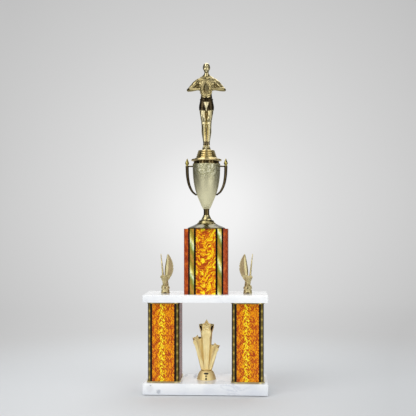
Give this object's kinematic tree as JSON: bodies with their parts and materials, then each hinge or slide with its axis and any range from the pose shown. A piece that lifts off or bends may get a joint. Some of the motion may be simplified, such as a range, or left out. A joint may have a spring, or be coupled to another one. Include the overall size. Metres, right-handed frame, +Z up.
{
  "type": "trophy",
  "caption": "Tall award trophy: marble base and deck on foil columns, cup riser with a figure holding a wreath, eagles and a star riser.",
  "frame": {"origin": "middle of the footprint, on the surface that the felt pads stand on", "axes": "+Z up along the trophy's height; -Y is the front that the figure and the stars face; +X to the right seen from the front"},
  "size_m": [0.254, 0.1142, 0.6835],
  "materials": {
    "marble": "polished white marble with faint blue-grey veins",
    "post_foil": "prismatic orange foil panel between black and gold stripes",
    "column_foil": "prismatic orange foil panel between black and gold stripes, orange sides",
    "polished_gold": "vacuum-metallised gold, polished",
    "dark_gold": "vacuum-metallised gold, dark and polished",
    "satin_gold": "metallised champagne gold with a fine satin texture",
    "matte_gold": "metallised champagne gold, matte",
    "pale_gold": "metallised pale gold, satin",
    "steel": "zinc-plated threaded steel",
    "brass": "turned",
    "felt": "dark felt",
    "plug_plastic": "black moulded"
  },
  "bodies": {
    "root": {"felt_pads": "felt", "base_slab": "marble", "base_washers": "steel", "base_nuts": "steel", "post_rod_left": "steel", "post_rod_right": "steel", "star_screw": "steel", "star_washer": "steel", "post_left": "post_foil", "post_right": "post_foil", "post_left_bottom_cap": "polished_gold", "post_left_top_cap": "polished_gold", "post_right_bottom_cap": "polished_gold", "post_right_top_cap": "polished_gold", "deck_slab": "marble", "deck_washers": "steel", "deck_nuts": "steel", "eagle_left": "matte_gold", "eagle_right": "matte_gold", "eagle_inserts": "brass", "centre_column": "column_foil", "centre_bottom_plug": "plug_plastic", "centre_top_plug": "plug_plastic", "centre_rod": "steel", "centre_washer": "steel", "centre_nut": "steel", "cup_foot": "polished_gold", "cup_stem": "dark_gold", "cup_bowl": "satin_gold", "cup_lid": "polished_gold", "cup_handle_left": "dark_gold", "cup_handle_right": "dark_gold", "figure_pedestal": "polished_gold", "figure_insert": "brass", "achiever_figure": "polished_gold", "star_riser_base": "pale_gold", "star_riser": "pale_gold", "star_insert": "brass"}
  },
  "joints": []
}
